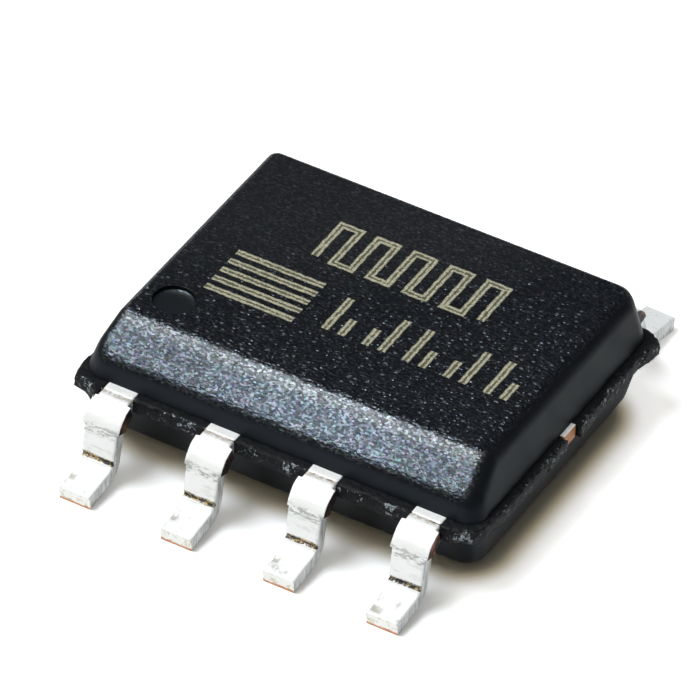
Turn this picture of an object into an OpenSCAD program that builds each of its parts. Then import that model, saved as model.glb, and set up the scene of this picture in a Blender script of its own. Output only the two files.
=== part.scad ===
// Small-outline integrated circuit with eight gull-wing leads, as it would come apart on a bench:
// moulded compound, eight formed leads, die paddle with its tie bars, die attach, silicon die and
// eight bond wires.
// Frame: origin on the seating plane under the middle of the body, +X along the rows of leads,
// +Y across them, +Z up. Lead 1 is at the front left (-X, -Y) and the numbers run anticlockwise.

/* [Moulded body] */
// Length of the body at the parting plane, along the rows of leads
body_l = 4.914; // [4.8:0.01:5.0]
// Width of the body at the parting plane, between the rows of leads
body_w = 3.924; // [3.8:0.01:4.0]
// Height of the top face above the seating plane
body_top = 1.495; // [1.4:0.005:1.75]
// Clearance under the body
standoff = 0.165; // [0.1:0.005:0.25]
// Height of the parting plane, where the upper half meets the leads
parting_z = 0.937; // [0.85:0.001:1.0]
// Draft of the upper half's end walls, in degrees
end_draft = 15.9; // [5:0.1:18]
// Draft of the upper half's side wall below the bevel, in degrees
side_draft = 11.9; // [5:0.1:15]
// Draft of the upper half's other side wall, in degrees
back_draft = 5.9; // [4:0.1:15]
// Draft of the lower half's end walls, in degrees
lower_end_draft = 9; // [5:0.5:12]
// Draft of the lower half's side walls, in degrees
lower_side_draft = 18; // [5:0.5:20]
// Radius of the upright corners, all but the one beside lead 8
corner_r = 0.24; // [0.15:0.01:0.3]
// Radius of the upright corner beside lead 8
sharp_corner_r = 0.11; // [0.1:0.01:0.3]
// Radius along the upper and lower edges
edge_r = 0.08; // [0.04:0.01:0.1]
// Radius along the upper edge of the end wall beside leads 4 and 5
end_edge_r = 0.16; // [0.04:0.01:0.2]

/* [Bevel beside lead 1] */
// Run of the long bevel over the top face, measured across the body
bevel_run = 0.535; // [0.3:0.005:0.6]
// Drop of the long bevel below the top face
bevel_drop = 0.318; // [0.15:0.002:0.35]

/* [Lead 1 dimple] */
// Width of the dimple at the top face
dimple_d = 0.486; // [0.4:0.002:0.6]
// Depth of the dimple at its rim
dimple_depth = 0.035; // [0.02:0.005:0.1]
// How much deeper the dimple's floor is at its middle
dimple_dish = 0.035; // [0:0.005:0.05]
// Distance from the dimple's centre to the middle of the body, along the body
dimple_x = 1.878; // [1.6:0.001:1.93]
// Distance from the dimple's centre to the middle of the body, across it
dimple_y = 0.975; // [0.7:0.001:1.0]

/* [Underside] */
// Width of the round ejector mark in the middle of the underside
ejector_d = 1.0; // [0.6:0.05:1.4]
// Depth of the ejector mark
ejector_depth = 0.03; // [0.01:0.005:0.05]

/* [Flash at the parting line] */
// How far the band of broken resin stands out beyond the body
flash = 0.12; // [0.06:0.01:0.15]
// How far its broken edge wanders in and out
flash_rough = 0.02; // [0:0.005:0.03]
// Spacing of the points along its broken edge
flash_step = 0.14; // [0.1:0.01:0.3]
// How far the resin stays back from the start of a lead's shoulder bend
bend_gap = 0.02; // [0.01:0.005:0.04]

/* [Leads] */
// Distance between neighbouring leads
pitch = 1.27; // [1.2:0.01:1.3]
// Distance from toe to toe across the body
lead_span = 5.934; // [5.8:0.002:6.2]
// Thickness of the lead frame
lead_t = 0.17; // [0.15:0.005:0.2]
// Width of a lead where it leaves the body
neck_w = 0.38; // [0.33:0.01:0.42]
// Width of a lead's leg and foot
leg_w = 0.40; // [0.33:0.01:0.42]
// Width of a lead where the dam bar was cut off
dam_w = 0.456; // [0.43:0.002:0.5]
// Straight neck between the body and the first bend
neck_l = 0.138; // [0.1:0.002:0.2]
// Inside radius of the shoulder bend
shoulder_r = 0.184; // [0.1:0.002:0.25]
// Inside radius of the knee bend
knee_r = 0.10; // [0.05:0.01:0.15]
// Lean of the leg away from upright, in degrees
leg_tilt = 8; // [0:0.5:15]
// Slope of the foot down to its toe, in degrees
foot_tilt = 9; // [0:0.5:10]
// Upper end of the wide dam bar stretch, in degrees above level round the shoulder bend
dam_from = 74; // [60:1:80]
// Lower end of the wide dam bar stretch, in degrees above level round the shoulder bend
dam_to = 18; // [10:1:40]
// Further reach of lead 5, which is bent outwards
splay_reach = 0.2; // [0:0.01:0.25]
// Further lean of lead 5's leg, in degrees
splay_tilt = 12; // [0:0.5:14]
// Sideways turn of lead 5, in degrees
splay_turn = 3; // [0:0.5:4]

/* [Lead frame inside] */
// Length of the die paddle
paddle_l = 2.6; // [2.2:0.05:2.7]
// Width of the die paddle
paddle_w = 1.84; // [1.6:0.02:1.9]
// How far the paddle is set down below the leads
downset = 0.2; // [0.1:0.01:0.3]
// Width of the tie bars that held the paddle
tie_w = 0.25; // [0.15:0.01:0.35]
// Length of a tie bar's cut end that stands out of the body
tie_stub = 0.055; // [0.02:0.005:0.08]
// Smallest gap between the paddle and a lead's inner finger
frame_gap = 0.18; // [0.15:0.01:0.25]
// Length of an inner finger's head, measured across the body
finger_head = 0.3; // [0.2:0.01:0.35]
// Width of the head on the middle leads' fingers
finger_w = 0.7; // [0.5:0.02:0.8]

/* [Die and wires] */
// Length of the silicon die
die_l = 1.6; // [1.0:0.05:2.0]
// Width of the silicon die
die_w = 1.3; // [0.8:0.05:1.5]
// Thickness of the silicon die
die_t = 0.25; // [0.15:0.01:0.28]
// Thickness of the die attach
attach_t = 0.025; // [0.01:0.005:0.05]
// How far the die attach shows round the die
attach_rim = 0.06; // [0.02:0.01:0.1]
// Diameter of the bond wires
wire_d = 0.03; // [0.02:0.005:0.05]
// Diameter of a ball bond
ball_d = 0.08; // [0.06:0.005:0.1]
// Height of a ball bond
ball_h = 0.02; // [0.015:0.005:0.03]
// Distance from a bond pad's centre to the die's edge
pad_inset = 0.1; // [0.06:0.01:0.15]
// How high a wire loops over the die
loop_h = 0.17; // [0.1:0.01:0.22]
// Length of a wire's stitch on its finger
stitch_l = 0.07; // [0.05:0.01:0.1]

/* [Hidden] */

resin = "#26272a";
tin = "#d4d8db";
copper = "#b5683f";
epoxy = "#a9a9a4";
silicon = "#5b6470";
gold = "#d9ab3c";

arc_n = 6;            // steps along a bend or round a corner
edge_n = 4;           // steps over the body's upper edges
round_n = 48;         // sides of the dimple and of the ejector mark
ball_n = 12;          // sides of a ball bond
layer_t = 0.01;       // thickness of the layers that a half of the body is drawn over
over = 0.3;           // how far a cut reaches beyond what it cuts
lead_root = 0.2;      // how far a formed lead runs into the body, over its finger
finger_root = 0.1;    // how far a finger stays inside the body's wall
paddle_lap = 0.1;     // overlap of a tie bar with the paddle
fan_lap = 1;          // overlap of a lead's neck and leg with its wide stretch, in degrees
wire_sides = 8;       // sides of a wire
wire_n = 12;          // rings along a wire's loop
wire_rise = 1.6;      // pull of a wire's first bend upwards, as a share of its loop height
wire_lean = 0.55;     // pull of a wire's second bend, as a share of its span

half_l = body_l / 2;
half_w = body_w / 2;
slab_z = parting_z - lead_t;      // underside of the lead frame
paddle_z = slab_z - downset;      // underside of the paddle
paddle_top = paddle_z + lead_t;
die_z = paddle_top + attach_t;
die_top = die_z + die_t;
top_h = body_top - parting_z;
low_h = slab_z - standoff;

// Points along an arc about c, from angle a0 to a1
function arc(c, r, a0, a1, n = arc_n) =
    [for (i = [0:n]) let (a = a0 + (a1 - a0) * i / n) [c.x + r * cos(a), c.y + r * sin(a)]];

// Which way a lead's row and place point: leads 1 to 4 in front, left to right, 5 to 8 behind
function lead_x(n) = pitch * (n <= 4 ? n - 2.5 : 6.5 - n);
function row_sign(n) = n <= 4 ? -1 : 1;
function side_sign(n) = sign(lead_x(n));
function is_corner(n) = n == 1 || n == 4 || n == 5 || n == 8;

// ---- Moulded body ----

// Outline of the rectangle from corner p to corner q, rounded by r, but by sharp_r beside lead 8
function round_rect(p, q, r, sharp_r) =
    concat(arc([q.x - r, q.y - r], r, 0, 90),
           arc([p.x + sharp_r, q.y - sharp_r], sharp_r, 90, 180),
           arc([p.x + r, p.y + r], r, 180, 270),
           arc([q.x - r, p.y + r], r, 270, 360));

// One thin layer of a hull, standing on height z, with its corners sharper by trim
module layer(p, q, z, trim = 0) {
    translate([0, 0, z])
        linear_extrude(layer_t)
            polygon(round_rect(p, q, corner_r - trim, sharp_corner_r - trim));
}

// How far a wall of the given draft stands in at a rise over the parting plane, where its
// upper edge is rounded by r
function wall_inset(rise, draft, r) =
    let (up = max(0, rise - top_h + r) / r)
    rise * tan(draft) + r * (1 - sqrt(1 - up * up)) * (1 - sin(draft));

// Upper half: drafted walls that round over into the top face
module upper_half() {
    hull() {
        layer([-half_l, -half_w], [half_l, half_w], parting_z);
        for (r = [edge_r, end_edge_r], i = [0:edge_n]) {
            rise = top_h - r * (1 - sin(90 * i / edge_n));
            layer([wall_inset(rise, end_draft, edge_r) - half_l,
                   wall_inset(rise, side_draft, edge_r) - half_w],
                  [half_l - wall_inset(rise, end_draft, end_edge_r),
                   half_w - wall_inset(rise, back_draft, edge_r)],
                  parting_z + rise - layer_t);
        }
    }
}

// What the long bevel beside lead 1 takes off, along the whole front edge
module bevel_cut() {
    wall_y = half_w - (top_h - bevel_drop) * tan(side_draft);
    slope = bevel_drop / bevel_run;
    translate([-body_l / 2, 0, 0])
        rotate([90, 0, 90])
            linear_extrude(body_l)
                polygon([
                    [-wall_y - over, body_top - bevel_drop - over * slope],
                    [-wall_y + bevel_run + over, body_top + over * slope],
                    [-wall_y - over, body_top + over * slope],
                ]);
}

// Lower half: drafted walls down to the underside
module lower_half() {
    foot = [half_l - low_h * tan(lower_end_draft), half_w - low_h * tan(lower_side_draft)];
    rounded = foot - [edge_r, edge_r];
    hull() {
        layer(-rounded, rounded, standoff, edge_r);
        layer(-foot, foot, standoff + edge_r);
        layer([-half_l, -half_w], [half_l, half_w], slab_z - layer_t);
    }
}

// Broken resin edge: a run from p to q whose points wander across it
function broken(p, q, seed) =
    let (run = norm(q - p), n = max(2, round(run / flash_step)),
         across = [q.y - p.y, p.x - q.x] / run)
    [for (i = [1:n - 1])
        p + (q - p) * i / n + across * flash_rough * (sin(i * 97 + seed) + sin(i * 41 + 2 * seed)) / 2];

// Band of resin as thick as the lead frame, left standing where it broke from its frame.
// Its chipped corners are named by where they are, and the outline runs anticlockwise.
module flash_band() {
    ex = half_l + flash;
    ey = half_w + flash;
    tie = tie_w / 2 + bend_gap;
    splinter = [
        [-ex + 0.06, -half_w + 0.48], [-ex + 0.06, -half_w + 0.06], [-ex + 0.1, -half_w - 0.08],
        [-ex + 0.27, -ey], [-ex + 0.4, -half_w - 0.2], [-ex + 0.46, -half_w - 0.29],
        [-ex + 0.48, -ey],
    ];
    front_right = [
        [ex - 0.36, -half_w - 0.17], [ex - 0.26, -half_w - 0.11], [ex - 0.12, -half_w - 0.06],
        [ex - 0.05, -half_w + 0.1], [ex - 0.02, -half_w + 0.41],
    ];
    tie_notch = [[ex - 0.01, -tie], [half_l + tie_stub, -tie], [half_l + tie_stub, tie], [ex, tie]];
    back_right = [
        [ex - 0.02, half_w - 0.47], [ex + 0.03, half_w - 0.24], [ex + 0.05, half_w - 0.12],
        [ex - 0.08, half_w - 0.01], [ex - 0.21, half_w + 0.04],
    ];
    back_left = [[-ex + 0.3, ey], [-ex + 0.08, half_w + 0.02], [-ex, half_w - 0.3]];
    linear_extrude(lead_t)
        polygon(concat(
            splinter,
            broken(splinter[6], front_right[0], 10),
            front_right,
            broken(front_right[4], tie_notch[0], 50),
            tie_notch,
            broken(tie_notch[3], back_right[0], 200),
            back_right,
            broken(back_right[4], back_left[0], 120),
            back_left,
            broken(back_left[2], splinter[0], 300)));
}

// Room over a lead's shoulder: the resin breaks off where the lead starts to bend
module bend_room(n) {
    room = flash + over;
    scale([side_sign(n), row_sign(n), 1])
        translate([abs(lead_x(n)) - dam_w / 2, half_w + neck_l - bend_gap, slab_z - room / 2])
            cube([dam_w, room, room]);
}

// Round recess beside lead 1, with a straight rim and a dished floor
module dimple() {
    floor_profile = [
        for (i = [0:edge_n])
            let (u = i / edge_n)
            [dimple_d / 2 * u, -dimple_depth - dimple_dish * (1 - u * u)]
    ];
    translate([-dimple_x, -dimple_y, body_top])
        rotate_extrude($fn = round_n)
            polygon(concat(floor_profile, [[dimple_d / 2, over], [0, over]]));
}

module moulded_body() {
    color(resin)
        difference() {
            union() {
                difference() {
                    upper_half();
                    bevel_cut();
                    dimple();
                }
                translate([0, 0, slab_z])
                    flash_band();
                lower_half();
            }
            translate([0, 0, standoff - ejector_depth])
                cylinder(h = 2 * ejector_depth, d = ejector_d, $fn = round_n);
            for (n = [1:8]) {
                lead(n);
                bend_room(n);
                bond_wire(n);
            }
            die_paddle();
            die_attach();
            silicon_die();
        }
}

// ---- Leads ----

// Side view of a lead outside the body, as [distance from the middle of the body, height].
// The leg and foot lengths are worked out so that the toe ends at reach and touches the board.
function lead_profile(reach, tilt) =
    let (
        start = half_w - lead_root,
        bend_y = half_w + neck_l,
        outer_r = shoulder_r + lead_t,
        shoulder_c = [bend_y, parting_z - outer_r],
        knee_out = knee_r + lead_t,
        leg_top = shoulder_c + outer_r * [cos(tilt), sin(tilt)],
        across = reach - leg_top.x - knee_r * cos(tilt) + knee_r * sin(foot_tilt),
        down = leg_top.y + knee_r * sin(tilt) - knee_out * cos(foot_tilt),
        leg_l = (down * cos(foot_tilt) - across * sin(foot_tilt)) / cos(tilt + foot_tilt),
        foot_l = (across * cos(tilt) - down * sin(tilt)) / cos(tilt + foot_tilt),
        knee_c = leg_top + leg_l * [sin(tilt), -cos(tilt)] + knee_r * [cos(tilt), sin(tilt)],
        foot_dir = [cos(foot_tilt), -sin(foot_tilt)],
        heel = knee_c - knee_r * [sin(foot_tilt), cos(foot_tilt)],
        toe_top = heel + foot_l * foot_dir,
        toe_low = toe_top - lead_t * [sin(foot_tilt), cos(foot_tilt)]
    )
    concat(
        [[start, parting_z]],
        arc(shoulder_c, outer_r, 90, tilt),
        arc(knee_c, knee_r, 180 + tilt, 270 - foot_tilt),
        [toe_top, toe_low],
        arc(knee_c, knee_out, 270 - foot_tilt, 180 + tilt),
        arc(shoulder_c, shoulder_r, tilt, 90),
        [[start, slab_z]]);

// Fan from the shoulder's centre between two angles: a stretch of the lead to give one width
module fan(a0, a1) {
    c = [half_w + neck_l, parting_z - shoulder_r - lead_t];
    polygon(concat([c], arc(c, lead_span / 4, a0, a1, 3)));
}

// Stands a side view up as a strip of the given width, centred on x = 0
module strip(w) {
    rotate([90, 0, 90])
        translate([0, 0, -w / 2])
            linear_extrude(w)
                children();
}

// Lead outside the body, running out along +Y
module formed_lead(reach, tilt) {
    profile = lead_profile(reach, tilt);
    neck_end = 179;    // bearings past the neck and past the toe, round the shoulder's centre
    toe_end = -110;
    strip(neck_w)
        intersection() {
            polygon(profile);
            fan(dam_from - fan_lap, neck_end);
        }
    strip(dam_w)
        intersection() {
            polygon(profile);
            fan(dam_to, dam_from);
        }
    strip(leg_w)
        intersection() {
            polygon(profile);
            fan(dam_to + fan_lap, toe_end);
        }
}

// Flat finger inside the body, on the +X side of the back row
module finger(n) {
    x = abs(lead_x(n));
    tip_y = paddle_w / 2 + frame_gap;
    corner_x = paddle_l / 2 + frame_gap;
    end_y = half_w - finger_root;
    translate([0, 0, slab_z])
        linear_extrude(lead_t)
            if (is_corner(n))
                polygon([
                    [x + neck_w / 2, end_y], [x + neck_w / 2, tip_y - finger_head],
                    [corner_x, tip_y - finger_head], [corner_x, tip_y],
                    [x - neck_w / 2, tip_y + finger_head], [x - neck_w / 2, end_y],
                ]);
            else
                union() {
                    translate([x - neck_w / 2, tip_y])
                        square([neck_w, end_y - tip_y]);
                    translate([x - finger_w / 2, tip_y])
                        square([finger_w, finger_head]);
                }
}

module lead(n) {
    bent = n == 5;
    reach = lead_span / 2 + (bent ? splay_reach : 0);
    tilt = leg_tilt + (bent ? splay_tilt : 0);
    scale([side_sign(n), row_sign(n), 1])
        union() {
            translate([abs(lead_x(n)), half_w, 0])
                rotate([0, 0, bent ? -splay_turn : 0])
                    translate([0, -half_w, 0])
                        formed_lead(reach, tilt);
            finger(n);
        }
}

// ---- Paddle, die and wires ----

// Side view of a tie bar: down from the cut end at lead height to the set-down paddle
function tie_profile() =
    let (
        end = half_l + tie_stub,
        start = paddle_l / 2 - paddle_lap,
        low = paddle_l / 2 + frame_gap,
        high = low + downset
    )
    [[start, paddle_z], [low, paddle_z], [high, slab_z], [end, slab_z],
     [end, parting_z], [high, parting_z], [low, paddle_top], [start, paddle_top]];

module die_paddle() {
    color(copper)
        union() {
            translate([-paddle_l / 2, -paddle_w / 2, paddle_z])
                cube([paddle_l, paddle_w, lead_t]);
            for (turn = [0, 180])
                rotate([0, 0, turn])
                    translate([0, tie_w / 2, 0])
                        rotate([90, 0, 0])
                            linear_extrude(tie_w)
                                polygon(tie_profile());
        }
}

module die_attach() {
    color(epoxy)
        translate([-die_l / 2 - attach_rim, -die_w / 2 - attach_rim, paddle_top])
            cube([die_l + 2 * attach_rim, die_w + 2 * attach_rim, attach_t]);
}

module silicon_die() {
    color(silicon)
        translate([-die_l / 2, -die_w / 2, die_z])
            cube([die_l, die_w, die_t]);
}

// Bond pad on the die and stitch on the finger, both for the lead's own corner of the part
function pad_at(n) =
    let (corner = is_corner(n))
    [side_sign(n) * (corner ? die_l / 2 - pad_inset : die_l / 2 - 4 * pad_inset),
     row_sign(n) * (corner ? die_w / 2 - 3 * pad_inset : die_w / 2 - pad_inset)];
function stitch_at(n) =
    [side_sign(n) * (is_corner(n) ? (paddle_l / 2 + frame_gap + abs(lead_x(n))) / 2 : abs(lead_x(n))),
     row_sign(n) * (paddle_w / 2 + frame_gap + (is_corner(n) ? -0.5 : 0.5) * finger_head)];

// Point t of a cubic curve through four control points
function bezier(p, t) =
    pow(1 - t, 3) * p[0] + 3 * t * pow(1 - t, 2) * p[1] + 3 * t * t * (1 - t) * p[2] + pow(t, 3) * p[3];

// Wire route in its own upright plane, as [distance from the ball, height]
function wire_route(reach) =
    let (
        low = parting_z + wire_d / 2 * cos(180 / wire_sides),
        up = die_top + loop_h * wire_rise,
        loop = [[0, die_top + ball_h / 2], [0, up], [reach * wire_lean, low], [reach - stitch_l, low]]
    )
    concat([for (i = [0:wire_n]) bezier(loop, i / wire_n)], [[reach, low]]);

// Tube with flat sides along a route that lies in the XZ plane
module wire_tube(route) {
    last = len(route) - 1;
    m = wire_sides;
    points = [
        for (i = [0:last])
            let (
                d = route[min(i + 1, last)] - route[max(i - 1, 0)],
                t = i == 0 ? [0, 1] : i >= last - 1 ? [1, 0] : d / norm(d),
                out = [-t.y, t.x]
            )
            for (k = [0:m - 1])
                let (a = 360 * (k + 0.5) / m, c = route[i] + wire_d / 2 * cos(a) * out)
                [c.x, wire_d / 2 * sin(a), c.y]
    ];
    sides = [
        for (i = [0:last - 1], k = [0:m - 1])
            let (j = (k + 1) % m)
            [i * m + k, i * m + j, (i + 1) * m + j, (i + 1) * m + k]
    ];
    start_cap = [for (k = [0:m - 1]) m - 1 - k];
    end_cap = [for (k = [0:m - 1]) last * m + k];
    polyhedron(points, concat(sides, [start_cap, end_cap]));
}

module bond_wire(n) {
    from = pad_at(n);
    to = stitch_at(n);
    run = to - from;
    color(gold)
        translate([from.x, from.y, 0])
            union() {
                translate([0, 0, die_top])
                    cylinder(h = ball_h, d = ball_d, $fn = ball_n);
                rotate([0, 0, atan2(run.y, run.x)])
                    wire_tube(wire_route(norm(run)));
            }
}

moulded_body();
color(tin) lead(1);  // lead_1
color(tin) lead(2);  // lead_2
color(tin) lead(3);  // lead_3
color(tin) lead(4);  // lead_4
color(tin) lead(5);  // lead_5
color(tin) lead(6);  // lead_6
color(tin) lead(7);  // lead_7
color(tin) lead(8);  // lead_8
die_paddle();
die_attach();
silicon_die();
bond_wire(1);  // bond_wire_1
bond_wire(2);  // bond_wire_2
bond_wire(3);  // bond_wire_3
bond_wire(4);  // bond_wire_4
bond_wire(5);  // bond_wire_5
bond_wire(6);  // bond_wire_6
bond_wire(7);  // bond_wire_7
bond_wire(8);  // bond_wire_8
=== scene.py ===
"""Looks of an eight-lead small-outline integrated circuit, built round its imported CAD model."""
import bpy
import math
import numpy as np
from mathutils import Matrix, Vector, noise


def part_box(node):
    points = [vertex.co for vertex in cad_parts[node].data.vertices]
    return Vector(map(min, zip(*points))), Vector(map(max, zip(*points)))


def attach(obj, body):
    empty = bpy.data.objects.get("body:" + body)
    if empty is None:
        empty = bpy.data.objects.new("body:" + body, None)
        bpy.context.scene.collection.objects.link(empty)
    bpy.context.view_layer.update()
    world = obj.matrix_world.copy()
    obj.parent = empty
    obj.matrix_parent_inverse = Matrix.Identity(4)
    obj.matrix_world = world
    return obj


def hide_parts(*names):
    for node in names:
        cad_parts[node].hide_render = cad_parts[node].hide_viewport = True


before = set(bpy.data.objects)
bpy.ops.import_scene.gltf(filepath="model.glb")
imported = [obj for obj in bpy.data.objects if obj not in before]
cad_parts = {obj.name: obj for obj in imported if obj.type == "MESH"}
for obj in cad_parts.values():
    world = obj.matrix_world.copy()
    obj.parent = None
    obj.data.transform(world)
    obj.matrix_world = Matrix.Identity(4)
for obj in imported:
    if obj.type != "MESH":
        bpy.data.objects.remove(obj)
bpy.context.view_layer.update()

MM = 0.001  # every length below is in millimetres until a mesh is made


# ---- Sizes, in millimetres, as the CAD part has them ----

def box_mm(node):
    lo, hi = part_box(node)
    return np.array(lo) / MM, np.array(hi) / MM


BODY_LO, BODY_HI = box_mm("moulded_body")
_, PADDLE_HI = box_mm("die_paddle")
BODY_TOP = BODY_HI[2]
STANDOFF = BODY_LO[2]
PARTING_Z = PADDLE_HI[2]
LEAD_T = 0.17
SLAB_Z = PARTING_Z - LEAD_T
HALF_L = 2.457
HALF_W = 1.962
END_DRAFT = math.radians(15.9)
SIDE_DRAFT, BACK_DRAFT = math.radians(11.9), math.radians(5.9)
LOW_END_DRAFT = math.radians(9)
LOW_SIDE_DRAFT = math.radians(18)
CORNER_R, SHARP_CORNER_R = 0.24, 0.11
EDGE_R, END_EDGE_R = 0.085, 0.16
BEVEL_RUN = 0.535
BEVEL_DROP = 0.318
BEVEL_TOP_Y = -1.40   # about where the bevel meets the top face
DIMPLE_X, DIMPLE_Y = -1.878, -0.975
DIMPLE_R = 0.243
DIMPLE_DEPTH = 0.046
DIMPLE_DISH = 0.024
DIMPLE_RIM = 0.007
FLASH = 0.12
PITCH = 1.27
TIE_W = 0.25
SPALL_OFF = 1.03   # puts the spalled spots of the parting line just left of each lead
SCAR = (2.35, -2.06, 0.80)   # a larger broken spot, near the front right corner
BEVEL_ROUND = 0.025   # radius between the top face and the bevel
FRONT_LESS = 0.03   # the front edges are rounded this much less than EDGE_R
FLASH_ROOT = 0.16   # how far the flash reaches into the body
FLASH_LIFT, FLASH_THINNER = 0.006, 0.014   # against the underside and the thickness of a lead
EJECTOR_R, EJECTOR_DEPTH = 0.5, 0.03

# Lead
REACH = 2.967
NECK_W, DAM_W, LEG_W, TOE_W = 0.375, 0.456, 0.405, 0.385
NECK_L = 0.138
SHOULDER_R = 0.184
KNEE_R = 0.10
LEG_TILT = 8
FOOT_TILT = 9
DAM_FROM, DAM_TO = 74, 18   # degrees of the shoulder bend
EDGE_SOFT, DAM_SOFT = 0.022, 0.012   # rounding of a lead's long edges
EDGE_RAGGED, DAM_RAGGED = 0.004, 0.009
# Creases across the outer face: station of the middle, half width in stations, depth.
SHOULDER_CREASE, KNEE_CREASE = (0.92, 0.22, 0.009), (3.04, 0.17, 0.030)
SPLAYED = 5   # the lead that is bent outwards
SPLAY_REACH = 0.2
SPLAY_TILT = 12
SPLAY_TURN = 3
# The forming tool's dent on each front foot: place across the lead, station along it.
DENTS = {1: (-0.165, 4.42), 2: (-0.165, 4.42), 3: (-0.16, 4.45), 4: (-0.115, 4.72)}
DENT_W, DENT_L, DENT_DEPTH = 0.13, 0.30, 0.028

# Faces of a lead, as material numbers
ROLLED, PUNCHED, DAM_FACE, TOE_FACE = range(4)

# Grain of the bevel, in cells to a millimetre
GLITTER_CELLS, HUE_CELLS = 43, 38

# Floor
# FLOOR_GAIN, LIFT_NEAR and LIFT_FADE set the painted light that the floor shows the camera
FLOOR_GAIN = 0.3
FLOOR_IN_MIRROR = 0.3
LIFT_NEAR, LIFT_FADE = 0.65, 0.30
FLOOR_ROUND = 0.42
FLOOR_INSET_X, FLOOR_INSET_Y = 0.13, 0.30   # the underside is this much smaller all round
LEE_SIDE = (0.838, 0.545, 0.0)   # the way that the shadow falls
FLOOR_R, FLOOR_PARTS = 900.0, 96


# ---- Mesh helpers ----

def new_mesh(name, verts, faces, mats, face_mats=None, smooth=True):
    """A mesh object from points in millimetres."""
    me = bpy.data.meshes.new(name)
    me.from_pydata([tuple(c * MM for c in v) for v in verts], [], faces)
    for m in mats:
        me.materials.append(m)
    if face_mats is not None:
        me.polygons.foreach_set("material_index", face_mats)
    me.polygons.foreach_set("use_smooth", [smooth] * len(me.polygons))
    me.validate()
    me.update()
    ob = bpy.data.objects.new(name, me)
    bpy.context.scene.collection.objects.link(ob)
    return ob


def mark_points(ob, name, values):
    """Gives each point of a mesh a number, which its material reads as an attribute."""
    layer = ob.data.attributes.new(name, "FLOAT", "POINT")
    layer.data.foreach_set("value", values)


def smax(a, b, r):
    """Larger of two distances, with the corner between them rounded to radius r."""
    both = (a > -r) & (b > -r)
    return np.where(both, np.hypot(np.maximum(a + r, 0), np.maximum(b + r, 0)) - r, np.maximum(a, b))


def lines(lo, hi, centres, fine, coarse, near):
    """Grid lines from lo to hi, closer together near each centre."""
    out = [lo]
    while out[-1] < hi - 1e-6:
        gap = min((abs(out[-1] + fine - c) for c in centres), default=9)
        step = fine if gap < near else min(coarse, fine + (gap - near) * 0.35)
        out.append(min(out[-1] + step, hi))
    if len(out) > 2 and out[-1] - out[-2] < fine * 0.4:
        out.pop(-2)
    return np.array(out)


def fractal(p, scale, octaves=3):
    """Smooth noise from -1 to 1 at a point in millimetres."""
    total, amp, norm = 0.0, 1.0, 0.0
    q = Vector(p) * scale
    for _ in range(octaves):
        total += amp * noise.noise(q)
        norm += amp
        q = q * 2.03
        amp *= 0.55
    return total / norm


# ---- Node helpers ----

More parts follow.
